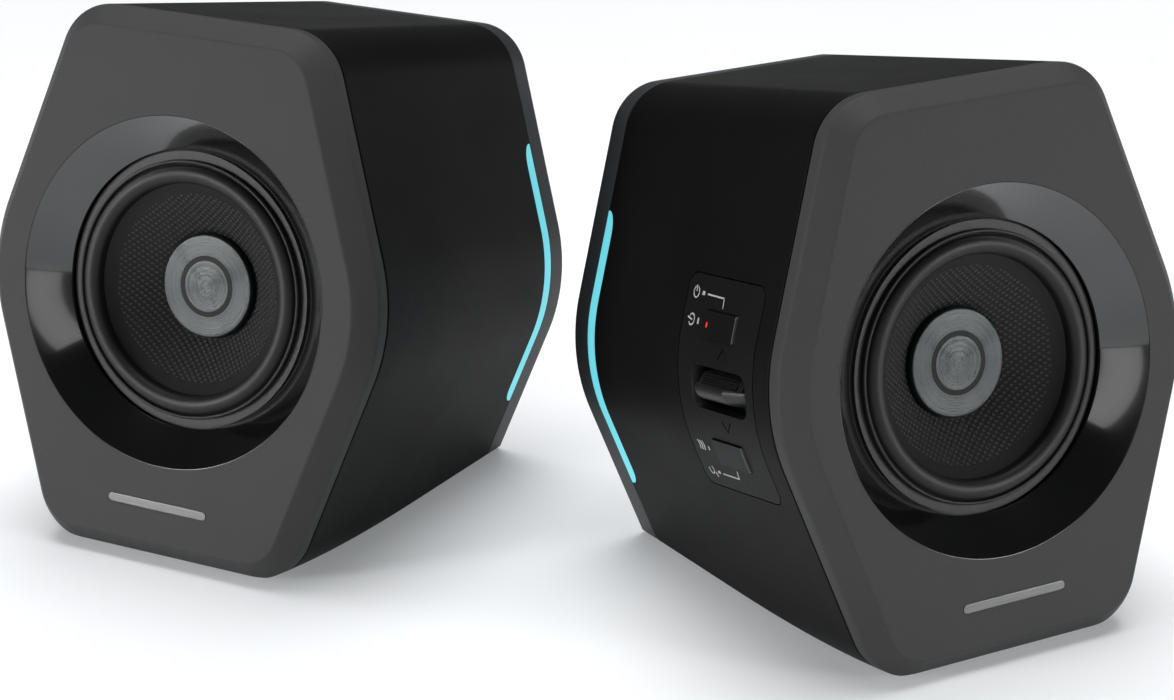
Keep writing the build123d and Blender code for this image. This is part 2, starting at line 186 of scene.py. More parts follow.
def settle(mesh, name, side, material, body="cabinets", sharp=32.0, bevel=0.0, level=False):
    """Stand a drawn mesh with its speaker, shade it and ride it on a body, as one piece."""
    bmesh.ops.remove_doubles(mesh, verts=mesh.verts, dist=0.0005)
    mesh.transform(stand[side])
    if level:
        base = Vector((0, 0, FOOT_HEIGHT * MILLIMETRE))
        everything = mesh.verts[:] + mesh.edges[:] + mesh.faces[:]
        cut = bmesh.ops.bisect_plane(
            mesh, geom=everything, plane_co=base, plane_no=(0, 0, 1), clear_inner=True)
        rim = [item for item in cut["geom_cut"] if isinstance(item, bmesh.types.BMEdge)]
        bmesh.ops.triangle_fill(mesh, edges=rim, use_beauty=True)
    bmesh.ops.recalc_face_normals(mesh, faces=mesh.faces)
    piece = bpy.data.objects.new(f"{side}_{name}", bpy.data.meshes.new(f"{side}_{name}"))
    bpy.context.scene.collection.objects.link(piece)
    mesh.to_mesh(piece.data)
    mesh.free()
    piece.data.materials.append(material)
    piece.data.shade_smooth()
    if bevel:
        edge = piece.modifiers.new("moulded edge", "BEVEL")
        edge.width = bevel * MILLIMETRE
        edge.segments = 2
        edge.limit_method = "ANGLE"
        edge.angle_limit = math.radians(50)
    else:
        piece.data.set_sharp_from_angle(angle=math.radians(sharp))
    steady = piece.modifiers.new("steady faces", "WEIGHTED_NORMAL")
    steady.keep_sharp = True
    if body:
        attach(piece, body)
    return piece


class Signal:
    """A number that varies over a surface; arithmetic on it adds Math nodes."""

    def __init__(self, socket):
        self.socket = socket

    def math(self, operation, *terms, clamp=False):
        """One Math node whose terms are numbers or signals."""
        tree = self.socket.id_data
        node = tree.nodes.new("ShaderNodeMath")
        node.operation = operation
        node.use_clamp = clamp
        for entry, term in zip(node.inputs, terms):
            if isinstance(term, Signal):
                tree.links.new(term.socket, entry)
            else:
                entry.default_value = term
        return Signal(node.outputs[0])

    def __add__(self, other):
        return self.math("ADD", self, other)

    def __sub__(self, other):
        return self.math("SUBTRACT", self, other)

    def __rsub__(self, other):
        return self.math("SUBTRACT", other, self)

    def __mul__(self, other):
        return self.math("MULTIPLY", self, other)

    def __truediv__(self, other):
        return self.math("DIVIDE", self, other)

    __radd__ = __add__
    __rmul__ = __mul__

    def power(self, exponent):
        """The number raised to a power."""
        return self.math("POWER", self, exponent)

    def above(self, threshold, softness):
        """0 below a threshold and 1 above it, with a soft step between."""
        return self.math("MULTIPLY_ADD", self, 1 / softness, 0.5 - threshold / softness, clamp=True)


class Network:
    """A node tree being laid out, one node at a time."""

    prefix = "ShaderNode"

    def node(self, kind, sockets=None, output=0, **settings):
        """Add a node: its settings, then its sockets' values or links."""
        node = self.tree.nodes.new(self.prefix + kind)
        for setting, value in settings.items():
            setattr(node, setting, value)
        for name, value in (sockets or {}).items():
            if isinstance(value, Signal):
                self.tree.links.new(value.socket, node.inputs[name])
            else:
                node.inputs[name].default_value = value
        return Signal(node.outputs[output]) if node.outputs else None


class Finish(Network):
    """A material being mixed."""

    def __init__(self, name):
        self.material = bpy.data.materials.new(name)
        self.material.use_nodes = True
        self.tree = self.material.node_tree
        self.tree.nodes.clear()

    def spot(self, side=None):
        """A point of the surface in millimetres: on the table, or in one speaker's own space."""
        where = self.node("TexCoord", output="Object")
        if side is None:
            return self.node("VectorMath", {0: where, "Scale": 1 / MILLIMETRE}, operation="SCALE")
        corner, turn, _ = stand[side].decompose()
        own_space = {"Location": corner, "Rotation": turn.to_euler(), "Scale": (MILLIMETRE,) * 3}
        return self.node("Mapping", {"Vector": where, **own_space}, vector_type="TEXTURE")

    def parts(self, where):
        """The across, depth and height parts of a point."""
        split = self.node("SeparateXYZ", {0: where}).socket.node
        return [Signal(part) for part in split.outputs]

    def stretch(self, where, across, depth, height):
        """A point with its parts multiplied, for a pattern that runs one way."""
        return self.node("VectorMath", {0: where, 1: (across, depth, height)}, operation="MULTIPLY")

    def noise(self, where, size, detail=2.0):
        """Soft noise from 0 to 1 whose patches are about size millimetres across."""
        return self.node("TexNoise", {"Vector": where, "Scale": 1 / size, "Detail": detail})

    def blend(self, share, first, second):
        """Colour between two colours, by a share from 0 to 1."""
        sockets = {0: share}
        for entry, colour in ((6, first), (7, second)):
            sockets[entry] = colour if isinstance(colour, Signal) else (*colour, 1)
        return self.node("Mix", sockets, output=2, data_type="RGBA")

    def relief(self, height, strength, distance):
        """Normal for a height map whose full height is distance millimetres."""
        sockets = {"Height": height, "Strength": strength, "Distance": distance * MILLIMETRE}
        return self.node("Bump", sockets)

    def surface(self, **values):
        """End the material in one principled shader; in the names, _ stands for a space."""
        sockets = {name.replace("_", " "): value for name, value in values.items()}
        shader = self.node("BsdfPrincipled", sockets, output="BSDF")
        self.node("OutputMaterial", {"Surface": shader})
        return self.material


def shade(level, tint=(1.0, 1.0, 1.0)):
    """Linear colour for a grey of a display level from 0 to 255, with a slight tint."""
    linear = ((level / 255 + 0.055) / 1.055) ** 2.4
    return tuple(linear * part for part in tint)


def moulding(name, dark, light, rough, grain, strength, tint=(1.0, 1.0, 1.0), gloss=0.5):
    """Moulded plastic: spark-eroded grain, slow changes of shade, and patches a little more polished."""
    finish = Finish(name)
    spot = finish.spot()
    fine = finish.noise(spot, grain)
    coarse = finish.noise(spot, grain * 2.7)
    patches = finish.noise(spot, 24.0)
    mottle = patches * 0.5 + fine * 0.3 + coarse * 0.2
    return finish.surface(
        Base_Color=finish.blend(mottle, shade(dark, tint), shade(light, tint)),
        Roughness=rough + 0.12 * patches + 0.08 * coarse,
        Specular_IOR_Level=gloss,
        Normal=finish.relief(fine + coarse * 0.7, strength, grain * 0.4),
    )


bezel_plastic = moulding("bezel_plastic", 50, 66, 0.5, 0.3, 0.3, gloss=0.15)
BADGE_HEIGHT = 14.0
BADGE_LENGTH = 28.0
BADGE_WIDTH = 2.2
SLOT_GAP = 0.1


def slot_points(length, width, steps=12):
    """Points (across, up) round a straight slot with round ends, about its own middle."""
    points = []
    for sign in (1, -1):
        for step in range(steps + 1):
            angle = math.pi * (step / steps - 0.5)
            across = (length - width) / 2 + width / 2 * math.cos(angle)
            points.append((sign * across, sign * width / 2 * math.sin(angle)))
    return points


def front_slab(points, height, near, far, rounding=0.0):
    """Slab square to the face, from points (across, up) about a height, with its front edge rounded."""
    steps = [(far, 0.0), (near + rounding, 0.0), (near + rounding * 0.3, rounding * 0.3), (near, rounding)]
    reach = np.abs(np.array(points)).max(axis=0)
    rings = []
    for depth, inset in steps if rounding else (steps[0], steps[-1]):
        wide, high = 1 - inset / reach[0], 1 - inset / reach[1]
        rings.append([(x * wide, depth, height + y * high) for x, y in points])
    return skin(rings, ends="filled")


def front_bezel(side):
    """One bezel: rings from the mouth over face and chamfer to the tongue, and a slot for the badge."""
    face = section(0, FACE_INSET)
    mouth = [(MOUTH_RADIUS, BEZEL_BACK), (MOUTH_RADIUS, 0.08), (MOUTH_RADIUS + 0.06, 0.0)]
    rings = [facing_circle(face, radius, depth) for radius, depth in mouth]
    edge = [(0.0, FACE_INSET + 0.55), (0.03, FACE_INSET + 0.22), (0.14, FACE_INSET - 0.03), (0.4, 4.22)]
    edge += [(CHAMFER_DEPTH - 0.55, 0.49), (CHAMFER_DEPTH - 0.1, 0.14), (CHAMFER_DEPTH + 0.4, 0.02)]
    edge += [(CHAMFER_DEPTH + 0.9, 0.0), (BEZEL_BACK - 0.35, 0.0)]
    edge += [(BEZEL_BACK - 0.1, 0.09), (BEZEL_BACK, 0.3)]
    rings += [section(depth, inset) for depth, inset in edge]
    tongue = [(BEZEL_BACK, WALL + 0.15), (TONGUE_BACK, WALL + 0.15), (TONGUE_BACK, 4.5), (BEZEL_BACK, 4.5)]
    rings += [above_base(section(depth, inset), FOOT_HEIGHT + WALL) for depth, inset in tongue]
    rings.append(facing_circle(face, 44.0, BEZEL_BACK))
    slot = front_slab(slot_points(BADGE_LENGTH + SLOT_GAP, BADGE_WIDTH + SLOT_GAP), BADGE_HEIGHT, -1, 0.5)
    piece = settle(carve(skin(rings), slot), "bezel", side, bezel_plastic, level=True)
    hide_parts(f"{side}_front_bezel")


for side in SIDES:
    front_bezel(side)

# Badge
# A slim metal bar, brushed along its length and pressed into a slot low on the face.
brushing = Finish("badge_inlay")
streak = brushing.noise(brushing.stretch(brushing.spot(), 0.12, 0.12, 6.0), 1.0)
badge_inlay = brushing.surface(
    Base_Color=brushing.blend(streak, shade(73), shade(104)),
    Roughness=0.3 + 0.15 * streak,
    Metallic=0.85,
    Normal=brushing.relief(streak, 0.2, 0.03),
)
for side in SIDES:
    bar = front_slab(slot_points(BADGE_LENGTH, BADGE_WIDTH), BADGE_HEIGHT, -0.15, 0.5, rounding=0.18)
    badge = settle(bar, "badge", side, badge_inlay)
    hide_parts(f"{side}_badge_bar")

# Horn ring
# A polished black funnel, injection moulded, that leads from the mouth in to the driver.
polish = Finish("horn_gloss")
ripple = polish.noise(polish.spot(), 11.0)
dust = polish.noise(polish.spot(), 0.3)
horn_gloss = polish.surface(
    Base_Color=polish.blend(dust, shade(4), shade(12)),
    Roughness=0.12 + 0.06 * dust,
    Coat_Weight=0.8 + 0.2 * ripple,
    Coat_Roughness=0.06,
    Coat_IOR=1.6,
    Normal=polish.relief(ripple, 0.1, 0.3),
)


def turned(profile, steps=192):
    """Closed ring or disc about the driver's axis, from a closed outline of (radius, depth) points."""
    mesh = bmesh.new()
    rows = []
    for radius, depth in profile:
        angles = [2 * math.pi * step / steps for step in range(steps if radius else 1)]
        places = [(radius * math.cos(a), depth, DRIVER_HEIGHT + radius * math.sin(a)) for a in angles]
        rows.append([mesh.verts.new(point) for point in places])
    for row, after in zip(rows, rows[1:] + rows[:1]):
        for i in range(steps):
            corners = [row[i - 1], row[i]] if len(row) > 1 else [row[0]]
            corners += [after[i], after[i - 1]] if len(after) > 1 else [after[0]]
            if len(corners) > 2:
                mesh.faces.new(corners)
    return mesh


def bend(centre, radius, start, end, steps=8):
    """Points (radius, depth) of an arc; its angles are in degrees, 0 outwards and 90 to the back."""
    angles = [math.radians(start + (end - start) * step / steps) for step in range(steps + 1)]
    return [(centre[0] + radius * math.cos(a), centre[1] + radius * math.sin(a)) for a in angles]


horn = [(35.0, 9.1), (35.0, 7.8), (40.2, 3.2), (40.2, 9.1), (42.02, 9.1), (42.02, 0.1), (41.95, 0.03)]
horn += [(41.8, 0.06), (37.6, 3.4), (33.5, 7.02), (33.4, 7.12), (33.4, 9.1)]
for side in SIDES:
    ring = settle(turned(horn, 256), "horn", side, horn_gloss)
    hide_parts(f"{side}_horn_ring")

# Driver edge
# A rounded trim bead clamps the rubber surround, whose half roll lets the cone travel. The outer half of the
# roll stays with the frame. The inner half, which in the real driver bends with the cone, is left on no body.
rubber = Finish("driver_rubber")
bloom = rubber.noise(rubber.spot(), 16.0)
pores = rubber.noise(rubber.spot(), 0.45)
driver_rubber = rubber.surface(
    Base_Color=rubber.blend(bloom * 0.6 + pores * 0.4, shade(18), shade(28)),
    Roughness=0.42 + 0.15 * bloom,
    Specular_IOR_Level=0.3,
    Normal=rubber.relief(pores, 0.15, 0.08),
)
ROLL_RADIUS = 27.65
ROLL_CREST = 6.0
bead = [(33.2, 9.3), (30.1, 9.3), (30.1, 7.6), *bend((30.6, 7.45), 0.45, 195, 345, 10), (31.05, 7.6)]
bead += [(31.1, 9.0), (33.2, 9.05)]


def roll(start, end, width=2.2, height=1.9, thickness=0.0):
    """Points (radius, depth) along the surround's half roll, between two angles in degrees."""
    angles = [math.radians(start + (end - start) * step / 12) for step in range(13)]
    wide, high = width - thickness, height - thickness
    return [(ROLL_RADIUS + wide * math.cos(a), ROLL_CREST + height - high * math.sin(a)) for a in angles]


outer_half = [*roll(90, 8), (30.05, 7.75), (30.05, 8.2), *roll(5, 90, thickness=0.5)]
inner_half = [*roll(90, 170, thickness=0.5), (25.9, 9.1), (25.42, 9.1), (25.42, 8.2), *roll(172, 90)]
for side in SIDES:
    gasket = settle(turned(bead), "trim_bead", side, driver_rubber)
    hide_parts(f"{side}_driver_gasket")
    outer = settle(turned(outer_half), "surround_outer", side, driver_rubber)
    inner = settle(turned(inner_half), "surround_inner", side, driver_rubber, body=None)
    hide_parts(f"{side}_surround")
    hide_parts(f"{side}_surround")
    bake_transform(inner)

# Cone
# A cone pressed from woven cloth set in black resin, with a smooth glued band at its edge. The weave stands
# up as crowns in rows, each row half a pitch beside the next.
CONE_EDGE = (25.4, 9.2)
CONE_NECK = (12.7, 17.5)
GLUE_BAND = 22.7
WEAVE_PITCH = (0.9, 0.73)
CROWN_HEIGHT = 0.12
CONE_STEPS = 700


def woven_cone(side):
    """One cone: a fine grid raised by the weave in front, and a plain wall and neck behind."""
    slope = (CONE_NECK[1] - CONE_EDGE[1]) / (CONE_EDGE[0] - CONE_NECK[0])
    radii = [*np.linspace(CONE_EDGE[0], GLUE_BAND, 5), *np.linspace(GLUE_BAND - 0.08, CONE_NECK[0], 64)]
    angles = np.linspace(0, 2 * math.pi, CONE_STEPS, endpoint=False)
    rings = []
    for radius in radii:
        across, up = radius * np.cos(angles), radius * np.sin(angles)
        weave = np.sin(math.pi * across / WEAVE_PITCH[0]) * np.sin(math.pi * up / WEAVE_PITCH[1])
        crown = CROWN_HEIGHT * np.maximum(weave, -0.25) * (CONE_NECK[0] < radius < GLUE_BAND - 0.1)
        depth = CONE_EDGE[1] + slope * (CONE_EDGE[0] - radius) - crown
        rings.append(np.stack([across, depth, DRIVER_HEIGHT + up], axis=1))
    for radius, depth in [(12.7, 20.5), (13.3, 20.5), (13.3, 18.1), (25.4, 9.8)]:
        across, up = radius * np.cos(angles), DRIVER_HEIGHT + radius * np.sin(angles)
        rings.append(np.stack([across, np.full(CONE_STEPS, depth), up], axis=1))
    return settle(skin(rings), "woven_cone", side, cone_cloth[side], f"{side}_cone_assembly", sharp=60)


def cloth_finish(side):
    """Resin-filled cloth, with the crowns painted lighter than the hollows between them: a painted highlight
    on the crowns and painted shade in the hollows.
    """
    cloth = Finish(f"{side}_woven_cone")
    spot = cloth.spot(side)
    across, _, up = cloth.parts(spot)
    rise = up - DRIVER_HEIGHT
    waves = across.math("SINE", across * (math.pi / WEAVE_PITCH[0]))
    rows = rise.math("SINE", rise * (math.pi / WEAVE_PITCH[1]))
    # painted highlight and painted shade: the crowns of the weave lighter, the hollows between them darker
    crown = (waves * rows).above(0.45, 0.5)
    reach = (across * across + rise * rise).power(0.5)
    woven = crown * (1 - reach.above(GLUE_BAND, 0.1))
    resin = cloth.noise(spot, 0.2)
    return cloth.surface(
        Base_Color=cloth.blend(woven * 0.85 + resin * 0.15, shade(14), shade(54)),
        Roughness=0.45 + 0.2 * resin,
        Specular_IOR_Level=0.25,
        Normal=cloth.relief(resin, 0.2, 0.05),
    )


cone_cloth = {side: cloth_finish(side) for side in SIDES}
for side in SIDES:
    cone = woven_cone(side)
    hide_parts(f"{side}_cone")

# Dust cap
# A dark spun aluminium cap with fine lathe lines and a rounded edge, glued on the cone's neck. A plain dark
# ring is let into its face.
CAP_RADIUS = 12.5
RING_RADII = (6.2, 7.4)


def spun_finish(side):
    """Spun aluminium: fine lathe lines round the middle, and a painted highlight in fan-shaped sectors,
    lighter and darker by the angle round the middle, for the light that such lines spread.
    """
    spun = Finish(f"{side}_spun_aluminium")
    spot = spun.spot(side)
    across, _, up = spun.parts(spot)
    rise = up - DRIVER_HEIGHT
    reach = (across * across + rise * rise).power(0.5)
    lines = spun.node("TexNoise", {"W": reach, "Scale": 5.0, "Detail": 2.0}, noise_dimensions="1D")
    sweep = across.math("ARCTAN2", across, rise)
    # painted highlight: colour that changes with the angle round the middle, in fan-shaped sectors of light
    painted_fans = spun.node("TexNoise", {"W": sweep + 4.0, "Scale": 1.1, "Detail": 1.0}, noise_dimensions="1D")
    bands = spun.node("TexNoise", {"W": reach, "Scale": 0.8, "Detail": 1.0}, noise_dimensions="1D")
    stain = spun.noise(spot, 5.0)
    wall = reach.above(CAP_RADIUS + 0.05, 0.15)
    # the lathe bands and stains are mixed here with the painted highlight of the sectors
    tone_and_painted_fans = (bands * 0.25 + painted_fans * 0.6 + stain * 0.15).above(0.3, 0.4)
    metal = spun.blend(tone_and_painted_fans, shade(34, (0.92, 1.0, 0.99)), shade(74, (0.92, 1.0, 0.99)))
    return spun.surface(
        Base_Color=spun.blend(wall, metal, (0.012, 0.03, 0.035)),
        Roughness=0.38 + 0.12 * stain,
        Metallic=0.95,
        Normal=spun.relief(lines, 0.7, 0.1),
    )


spun_aluminium = {side: spun_finish(side) for side in SIDES}
dark_inlay = moulding("cap_inlay", 12, 22, 0.45, 0.2, 0.1, gloss=0.2)
cap = [(0, 16.0), (0, 15.2), (3.0, 15.21), (RING_RADII[0] - 0.05, 15.27), (RING_RADII[0] - 0.05, 15.5)]
cap += [(RING_RADII[1] + 0.05, 15.5), (RING_RADII[1] + 0.05, 15.3), (9.5, 15.36), (11.6, 15.45)]
cap += [*bend((12.0, 15.85), 0.4, 275, 345, 6), (12.62, 16.5), (12.85, 17.5), (12.6, 17.5), (12.2, 16.3)]
inlay = [(RING_RADII[0], 15.45), (RING_RADII[1], 15.45), (RING_RADII[1], 15.33), (RING_RADII[0], 15.31)]
for side in SIDES:
    body = f"{side}_cone_assembly"
    dome = settle(turned(cap), "cap", side, spun_aluminium[side], body)
    ring = settle(turned(inlay), "cap_inlay", side, dark_inlay, body)
    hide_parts(f"{side}_dust_cap")

# Inside the driver
# A pressed steel frame, a corrugated cloth spider, a copper coil, zinc-plated plates and a ferrite magnet.
# They keep their CAD shapes, because the cabinet hides them.
def plating(name, dark, light, tint, metal, rough, size, strength):
    """Metal or mineral with small crystals or scratches that change its shade."""
    finish = Finish(name)
    spot = finish.spot()
    crystals = finish.noise(spot, size)
    film = finish.noise(spot, size * 12)
    return finish.surface(
        Base_Color=finish.blend(crystals * 0.5 + film * 0.5, shade(dark, tint), shade(light, tint)),
        Roughness=rough + 0.15 * crystals,
        Metallic=metal,
        Normal=finish.relief(crystals, strength, size * 0.3),
    )


def winding():
    """Enamelled copper wire, wound in close turns."""
    finish = Finish("copper_coil")
    spot = finish.spot()
    shine = finish.noise(spot, 0.4)
    return finish.surface(
        Base_Color=finish.blend(shine, (0.42, 0.13, 0.045), (0.72, 0.27, 0.1)),
        Roughness=0.25 + 0.15 * shine,
        Metallic=0.9,
        Normal=finish.relief(finish.noise(finish.stretch(spot, 0.3, 6.0, 0.3), 1.0), 0.4, 0.1),
    )


def spider_weave():
    """Open cotton weave stiffened with amber resin."""
    finish = Finish("spider_cloth")
    across, depth, up = finish.parts(finish.spot())
    warp = across.math("SINE", across * 9.0) * 0.5 + 0.5
    weft = up.math("SINE", up * 9.0) * 0.5 + 0.5
    threads = warp * weft
    return finish.surface(
        Base_Color=finish.blend(threads, (0.16, 0.08, 0.02), (0.55, 0.36, 0.14)),
        Roughness=0.7 + 0.2 * threads,
        Normal=finish.relief(threads, 0.6, 0.2),
    )


def dress(names, material):
    """Give CAD nodes a finish and leave their shapes alone."""
    for name in names:
        for entry in frame["nodes"][name].material_slots:
            entry.material = material


def both(*names):
    """The left and the right node of each name."""
    return [f"{side}_{name}" for side in SIDES for name in names]


black_screw = plating("black_screw", 18, 42, (1.0, 1.0, 1.05), 0.7, 0.3, 0.3, 0.2)
plated_steel = plating("plated_steel", 150, 200, (1.0, 1.0, 0.93), 0.95, 0.25, 0.5, 0.15)
dress(both("driver_basket"), plating("pressed_steel", 24, 40, (1.0, 1.0, 1.0), 0.3, 0.45, 0.5, 0.3))
dress(both("spider"), spider_weave())
dress(both("voice_coil"), winding())
dress(both("top_plate", "pole_plate"), plated_steel)
dress(both("magnet"), plating("ferrite", 50, 74, (1.0, 1.0, 1.02), 0.1, 0.6, 0.7, 0.5))
dress(both("driver_screws"), black_screw)

# Cabinet
# A hollow tapered body moulded in satin black, open at both ends. Its back edge is notched on both sides
# for the light bars, and the right one has a window for the controls.
SHELL_FRONT = 9.5
SHELL_BACK = 93.6
STRIP_HEIGHTS = (33.5, 100.0)
PANEL_DEPTHS = (16.0, 49.3)
PANEL_HEIGHTS = (42.0, 91.0)
cabinet_plastic = moulding("cabinet_plastic", 6, 12, 0.42, 0.35, 0.25, gloss=0.11)


def strip_outline(grow=0.0, back=SHELL_BACK):
    """Side view (depth, height) of a light bar: straight back edge and tapered tips."""
    low, high = STRIP_HEIGHTS[0] - grow, STRIP_HEIGHTS[1] + grow
    points = [(back, low)]
    for step in range(11):
        angle = math.pi / 2 * step / 10
        points.append((93.0 - (2.8 + grow) * math.sin(angle), low + 4.0 * (1 - math.cos(angle))))
    for step in range(11):
        angle = math.pi / 2 * step / 10
        points.append((93.2 - (3.0 + grow) * math.cos(angle), high - 5.5 * (1 - math.sin(angle))))
    return points + [(back, high)]


def rounded(depths, heights, radius, grow=0.0, steps=8):
    """Rectangle (depth, height) between limits, with rounded corners, grown all round."""
    middle = (sum(depths) / 2, sum(heights) / 2)
    radius += grow
    reach = ((depths[1] - depths[0]) / 2 + grow - radius, (heights[1] - heights[0]) / 2 + grow - radius)
    points = []
    for quarter, (one, two) in enumerate(((1, 1), (-1, 1), (-1, -1), (1, -1))):
        for step in range(steps + 1):
            angle = math.pi / 2 * (quarter + step / steps)
            depth = middle[0] + one * reach[0] + radius * math.cos(angle)
            points.append((depth, middle[1] + two * reach[1] + radius * math.sin(angle)))
    return points


def side_bar(points, sign, near=30.0, far=70.0):
    """Prism through one side wall, from an outline of (depth, height) points."""
    rings = [[(sign * x, depth, height) for depth, height in points] for x in (near, far)]
    return skin(rings, ends="filled")


def cabinet_shell(side):
    """One shell: outer skin, inner skin, two notches and, on the right, the window."""
    outer = [(SHELL_FRONT, 0.3), (SHELL_FRONT + 0.1, 0.09), (SHELL_FRONT + 0.3, 0.0)]
    outer += [(SHELL_BACK - 0.25, 0.0), (SHELL_BACK - 0.07, 0.07), (SHELL_BACK, 0.25)]
    rings = [section(depth, inset) for depth, inset in outer]
    rings += [above_base(section(depth, WALL), FOOT_HEIGHT + WALL) for depth in (SHELL_BACK, SHELL_FRONT)]
    mesh = skin(rings)
    for sign in (-1, 1):
        mesh = carve(mesh, side_bar(strip_outline(0.1, SHELL_BACK + 0.5), sign))
    if side == "right":
        mesh = carve(mesh, side_bar(rounded(PANEL_DEPTHS, PANEL_HEIGHTS, 3.0, 0.2), -1))
    piece = settle(mesh, "cabinet", side, cabinet_plastic, level=True)
    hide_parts(f"{side}_cabinet_shell")


for side in SIDES:
    cabinet_shell(side)

# Light bars
# Frosted clear bars, lit from behind by blue-green lamps on flexible boards. They clip into the notches at
# the cabinet's back edge, flush with its sides.
glow = Finish("light_bar")
lamps = glow.noise(glow.spot(), 9.0)
frost = glow.noise(glow.spot(), 0.4)
light_bar = glow.surface(
    Base_Color=glow.blend(frost, (0.02, 0.09, 0.1), (0.03, 0.12, 0.14)),
    Roughness=0.35 + 0.2 * frost,
    Emission_Color=glow.blend(lamps, (0.118, 0.56, 0.65), (0.16, 0.66, 0.75)),
    Emission_Strength=1.0,
    Normal=glow.relief(frost, 0.1, 0.05),
)


def wall_patch(points, sign, outer, inner, depths):
    """Piece of a side wall behind an outline, between two insets and within two depths."""
    rings = [section(depths[0], outer), section(depths[1], outer)]
    rings += [section(depths[1], inner), section(depths[0], inner)]
    return carve(skin(rings), side_bar(points, sign), "INTERSECT")


for side in SIDES:
    for sign, part in ((-1, "outer"), (1, "inner")):
        if side == "right":
            sign = -sign
        bar = wall_patch(strip_outline(), sign, 0.0, WALL, (80.0, SHELL_BACK))
        piece = settle(bar, f"light_bar_{part}", side, light_bar, bevel=0.15)
        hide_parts(f"{side}_light_strip_{part}")

circuit = Finish("circuit_board")
mask = circuit.noise(circuit.spot(), 1.6, 3.0)
tracks = mask.above(0.52, 0.03)
circuit_board = circuit.surface(
    Base_Color=circuit.blend(tracks, (0.006, 0.05, 0.02), (0.015, 0.12, 0.045)),
    Roughness=0.3 + 0.15 * mask,
    Normal=circuit.relief(tracks, 0.3, 0.04),
)
dress(both("light_boards"), circuit_board)

# Rear cover
# A shallow pan in satin blue-black plastic with a rounded edge. Four screws in round recesses hold it to
# posts in the cabinet, and the sockets come through it.
COVER_FRONT = 93.7
COVER_INSIDE = 99.2
COVER_EDGE = 2.0
SCREW_PLACES = ((24.0, 119.0), (-24.0, 119.0), (28.0, 28.0), (-28.0, 28.0))
SCREW_SEAT = 100.4
RECESS_RADIUS = 2.9
JACK_HEIGHT = 48.0
JACK_TIP = 102.6
SOCKETS = {
    "left": {"link": (0.0, 1.8)},
    "right": {"aux": (-13.0, 1.8), "link": (0.0, 1.8), "power": (12.0, 3.15)},
}
cover_plastic = moulding("cover_plastic", 36, 50, 0.4, 0.4, 0.3, tint=(0.86, 1.0, 1.12))


def pin(x, height, near, far, radius, steps=48):
    """Round pin square to the front at one place, between two depths."""
    angles = np.linspace(0, 2 * math.pi, steps, False)
    points = [(x + radius * math.cos(a), height + radius * math.sin(a)) for a in angles]
    return skin([[(across, depth, up) for across, up in points] for depth in (near, far)], "filled")


def rear_cover(side):
    """One cover: inner wall, rounded outer edge and back, with its recesses and socket holes cut."""
    rings = [above_base(section(depth, WALL), FOOT_HEIGHT + WALL) for depth in (COVER_INSIDE, COVER_FRONT)]
    for depth, inset in ((0.0, 0.25), (0.07, 0.07), (0.25, 0.0)):
        rings.append(section(COVER_FRONT + depth, inset))
    for step in range(9):
        angle = math.pi / 2 * step / 8
        depth = CABINET_DEPTH - COVER_EDGE * (1 - math.sin(angle))
        rings.append(section(depth, COVER_EDGE * (1 - math.cos(angle))))
    mesh = skin(rings, ends="filled")
    for x, height in SCREW_PLACES:
        mesh = carve(mesh, pin(x, height, SCREW_SEAT, 103, RECESS_RADIUS))
    for x, radius in SOCKETS[side].values():
        mesh = carve(mesh, pin(x, JACK_HEIGHT, 95, 103, radius + 2.0))
    piece = settle(mesh, "cover", side, cover_plastic, level=True)
    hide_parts(f"{side}_rear_cover")


for side in SIDES:
    rear_cover(side)


class Pattern(Network):
    """A Geometry Nodes tree being laid out, with its sizes as named inputs."""

    prefix = "GeometryNode"

    def __init__(self, name):
        self.tree = bpy.data.node_groups.new(name, "GeometryNodeTree")
        self.tree.interface.new_socket("Geometry", in_out="OUTPUT", socket_type="NodeSocketGeometry")
        self.tree.interface.new_socket("Places", in_out="INPUT", socket_type="NodeSocketGeometry")
        self.entry = self.tree.nodes.new("NodeGroupInput")
        self.sizes = {}

    def places(self):
        """The points that the tree is run on."""
        return Signal(self.entry.outputs["Places"])

    def size(self, name, value):
        """A named input of the tree, in millimetres."""
        socket = self.tree.interface.new_socket(name, in_out="INPUT", socket_type="NodeSocketFloat")
        self.sizes[socket.identifier] = value
        return Signal(self.entry.outputs[name])

    def vector(self, x=0.0, y=0.0, z=0.0):
        """A vector of three numbers or signals."""
        node = self.tree.nodes.new("ShaderNodeCombineXYZ")
        for entry, part in zip(node.inputs, (x, y, z)):
            if isinstance(part, Signal):
                self.tree.links.new(part.socket, entry)
            else:
                entry.default_value = part
        return Signal(node.outputs[0])

    def grow(self, result, material, points):
        """Run the tree on points (across, depth, up) and return what it makes as a mesh."""
        whole = self.node("RealizeInstances", {"Geometry": result})
        dressed = self.node("SetMaterial", {"Geometry": whole, "Material": material})
        self.tree.links.new(dressed.socket, self.tree.nodes.new("NodeGroupOutput").inputs[0])
        base = bpy.data.objects.new("places", bpy.data.meshes.new("places"))
        bpy.context.scene.collection.objects.link(base)
        base.data.from_pydata(points, [], [])
        modifier = base.modifiers.new("pattern", "NODES")
        modifier.node_group = self.tree
        for identifier, value in self.sizes.items():
            modifier[identifier] = value
        made = bpy.data.meshes.new_from_object(base.evaluated_get(bpy.context.evaluated_depsgraph_get()))
        bpy.data.meshes.remove(base.data)
        mesh = bmesh.new()
        mesh.from_mesh(made)
        bpy.data.meshes.remove(made)
        return mesh


